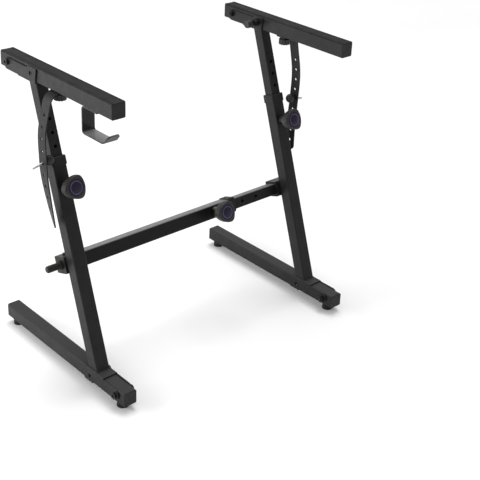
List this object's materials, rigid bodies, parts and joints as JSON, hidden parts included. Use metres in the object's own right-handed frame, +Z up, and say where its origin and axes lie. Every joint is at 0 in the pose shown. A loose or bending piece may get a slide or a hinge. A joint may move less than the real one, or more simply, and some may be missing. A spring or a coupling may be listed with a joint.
{
  "type": "folding keyboard stand",
  "caption": "Black folding keyboard stand: leaning telescopic legs on folding floor tubes, fold-down support arms, sliding crossbar, rubber straps and a headphone hook.",
  "frame": {"origin": "on the floor, half-way between the legs and half-way along the floor tubes", "axes": "+Z up, +X from the left leg to the right leg, the player stands on -Y"},
  "size_m": [0.7192, 0.43, 0.638],
  "materials": {
    "powder_coat": "satin black powder coat",
    "gloss_paint": "gloss black enamel on steel strip",
    "black_plastic": "black moulded plastic",
    "knob_plastic": "black moulded grip with steel screw or pin inside",
    "black_rubber": "black rubber",
    "foam_pad": "textured black foam rubber",
    "bright_steel": "zinc-plated steel",
    "black_steel": "black oxide steel",
    "badge_violet": "dark violet disc with one lighter ring"
  },
  "bodies": {
    "left_frame": {"left_outer_leg": "powder_coat", "left_leg_collar": "black_plastic", "left_lower_bracket": "powder_coat", "left_lower_pivot_bolt": "black_steel", "left_lower_plunger_bush": "black_steel", "crossbar_outer_tube": "powder_coat", "crossbar_collar": "black_plastic", "left_crossbar_socket": "powder_coat", "crossbar_end_plug": "black_plastic", "left_socket_bolt": "black_steel"},
    "left_base": {"left_base_tube": "powder_coat", "left_base_feet": "black_rubber", "left_base_end_caps": "black_plastic", "left_base_sleeves": "bright_steel"},
    "left_mast": {"left_inner_leg": "powder_coat", "left_upper_bracket": "powder_coat", "left_upper_pivot_bolt": "black_steel", "left_upper_plunger_bush": "black_steel"},
    "left_arm": {"left_arm_tube": "powder_coat", "left_arm_pad": "foam_pad", "left_arm_end_caps": "black_plastic", "left_arm_sleeves": "bright_steel", "left_strap": "black_rubber", "left_strap_pin": "bright_steel", "headphone_hook": "gloss_paint"},
    "left_thumb": {"left_thumb_screw": "knob_plastic"},
    "left_upper_lock": {"left_upper_plunger": "knob_plastic"},
    "left_lower_lock": {"left_lower_plunger": "knob_plastic"},
    "left_knob": {"left_leg_knob": "knob_plastic", "left_leg_knob_badge": "badge_violet"},
    "right_frame": {"right_outer_leg": "powder_coat", "right_leg_collar": "black_plastic", "right_lower_bracket": "powder_coat", "right_lower_pivot_bolt": "black_steel", "right_lower_plunger_bush": "black_steel", "crossbar_inner_tube": "powder_coat", "right_crossbar_socket": "powder_coat", "right_socket_bolt": "black_steel"},
    "right_base": {"right_base_tube": "powder_coat", "right_base_feet": "black_rubber", "right_base_end_caps": "black_plastic", "right_base_sleeves": "bright_steel"},
    "right_mast": {"right_inner_leg": "powder_coat", "right_upper_bracket": "powder_coat", "right_upper_pivot_bolt": "black_steel", "right_upper_plunger_bush": "black_steel"},
    "right_arm": {"right_arm_tube": "powder_coat", "right_arm_pad": "foam_pad", "right_arm_end_caps": "black_plastic", "right_arm_sleeves": "bright_steel", "right_strap": "black_rubber", "right_strap_pin": "bright_steel"},
    "right_thumb": {"right_thumb_screw": "knob_plastic"},
    "right_upper_lock": {"right_upper_plunger": "knob_plastic"},
    "right_lower_lock": {"right_lower_plunger": "knob_plastic"},
    "right_knob": {"right_leg_knob": "knob_plastic", "right_leg_knob_badge": "badge_violet"},
    "crossbar_knob": {"crossbar_knob": "knob_plastic", "crossbar_knob_badge": "badge_violet"},
    "handle": {"crossbar_handle": "knob_plastic"}
  },
  "joints": [
    {"name": "crossbar_slide", "type": "slide", "parent": "left_frame", "child": "right_frame", "axis": [1, 0, 0], "range_m": [-0.1245, 0.1245]},
    {"name": "left_base_fold", "type": "hinge", "parent": "left_frame", "child": "left_base", "pos_m": [-0.2925, -0.187, 0.029], "axis": [-1, 0, 0], "range_deg": [0, 285]},
    {"name": "left_leg_slide", "type": "slide", "parent": "left_frame", "child": "left_mast", "axis": [0, 0.3173, 0.9483], "range_m": [-0.135, 0.189]},
    {"name": "left_arm_fold", "type": "hinge", "parent": "left_mast", "child": "left_arm", "pos_m": [-0.2925, 0.1575, 0.6215], "axis": [-1, 0, 0], "range_deg": [0, 288]},
    {"name": "left_knob_turn", "type": "hinge", "parent": "left_frame", "child": "left_knob", "pos_m": [-0.2925, -0.02917, 0.41611], "axis": [0, -0.9483, 0.3173], "continuous": true},
    {"name": "left_thumb_turn", "type": "hinge", "parent": "left_arm", "child": "left_thumb", "pos_m": [-0.2925, 0.0005, 0.59], "axis": [0, 0, 1], "continuous": true},
    {"name": "left_upper_lock_pull", "type": "slide", "parent": "left_mast", "child": "left_upper_lock", "axis": [1, 0, 0], "range_m": [-0.0055, 0]},
    {"name": "left_lower_lock_pull", "type": "slide", "parent": "left_frame", "child": "left_lower_lock", "axis": [1, 0, 0], "range_m": [-0.0055, 0]},
    {"name": "right_base_fold", "type": "hinge", "parent": "right_frame", "child": "right_base", "pos_m": [0.2925, -0.187, 0.029], "axis": [-1, 0, 0], "range_deg": [0, 285]},
    {"name": "right_leg_slide", "type": "slide", "parent": "right_frame", "child": "right_mast", "axis": [0, 0.3173, 0.9483], "range_m": [-0.135, 0.189]},
    {"name": "right_arm_fold", "type": "hinge", "parent": "right_mast", "child": "right_arm", "pos_m": [0.2925, 0.1575, 0.6215], "axis": [-1, 0, 0], "range_deg": [0, 288]},
    {"name": "right_knob_turn", "type": "hinge", "parent": "right_frame", "child": "right_knob", "pos_m": [0.2925, -0.02917, 0.41611], "axis": [0, -0.9483, 0.3173], "continuous": true},
    {"name": "right_thumb_turn", "type": "hinge", "parent": "right_arm", "child": "right_thumb", "pos_m": [0.2925, 0.0005, 0.59], "axis": [0, 0, 1], "continuous": true},
    {"name": "right_upper_lock_pull", "type": "slide", "parent": "right_mast", "child": "right_upper_lock", "axis": [-1, 0, 0], "range_m": [-0.0055, 0]},
    {"name": "right_lower_lock_pull", "type": "slide", "parent": "right_frame", "child": "right_lower_lock", "axis": [1, 0, 0], "range_m": [-0.0055, 0]},
    {"name": "crossbar_knob_turn", "type": "hinge", "parent": "left_frame", "child": "crossbar_knob", "pos_m": [0.0825, -0.04365, 0.25434], "axis": [0, -0.9483, 0.3173], "continuous": true},
    {"name": "handle_turn", "type": "hinge", "parent": "left_frame", "child": "handle", "pos_m": [-0.32, -0.01046, 0.24324], "axis": [-1, 0, 0], "continuous": true}
  ]
}
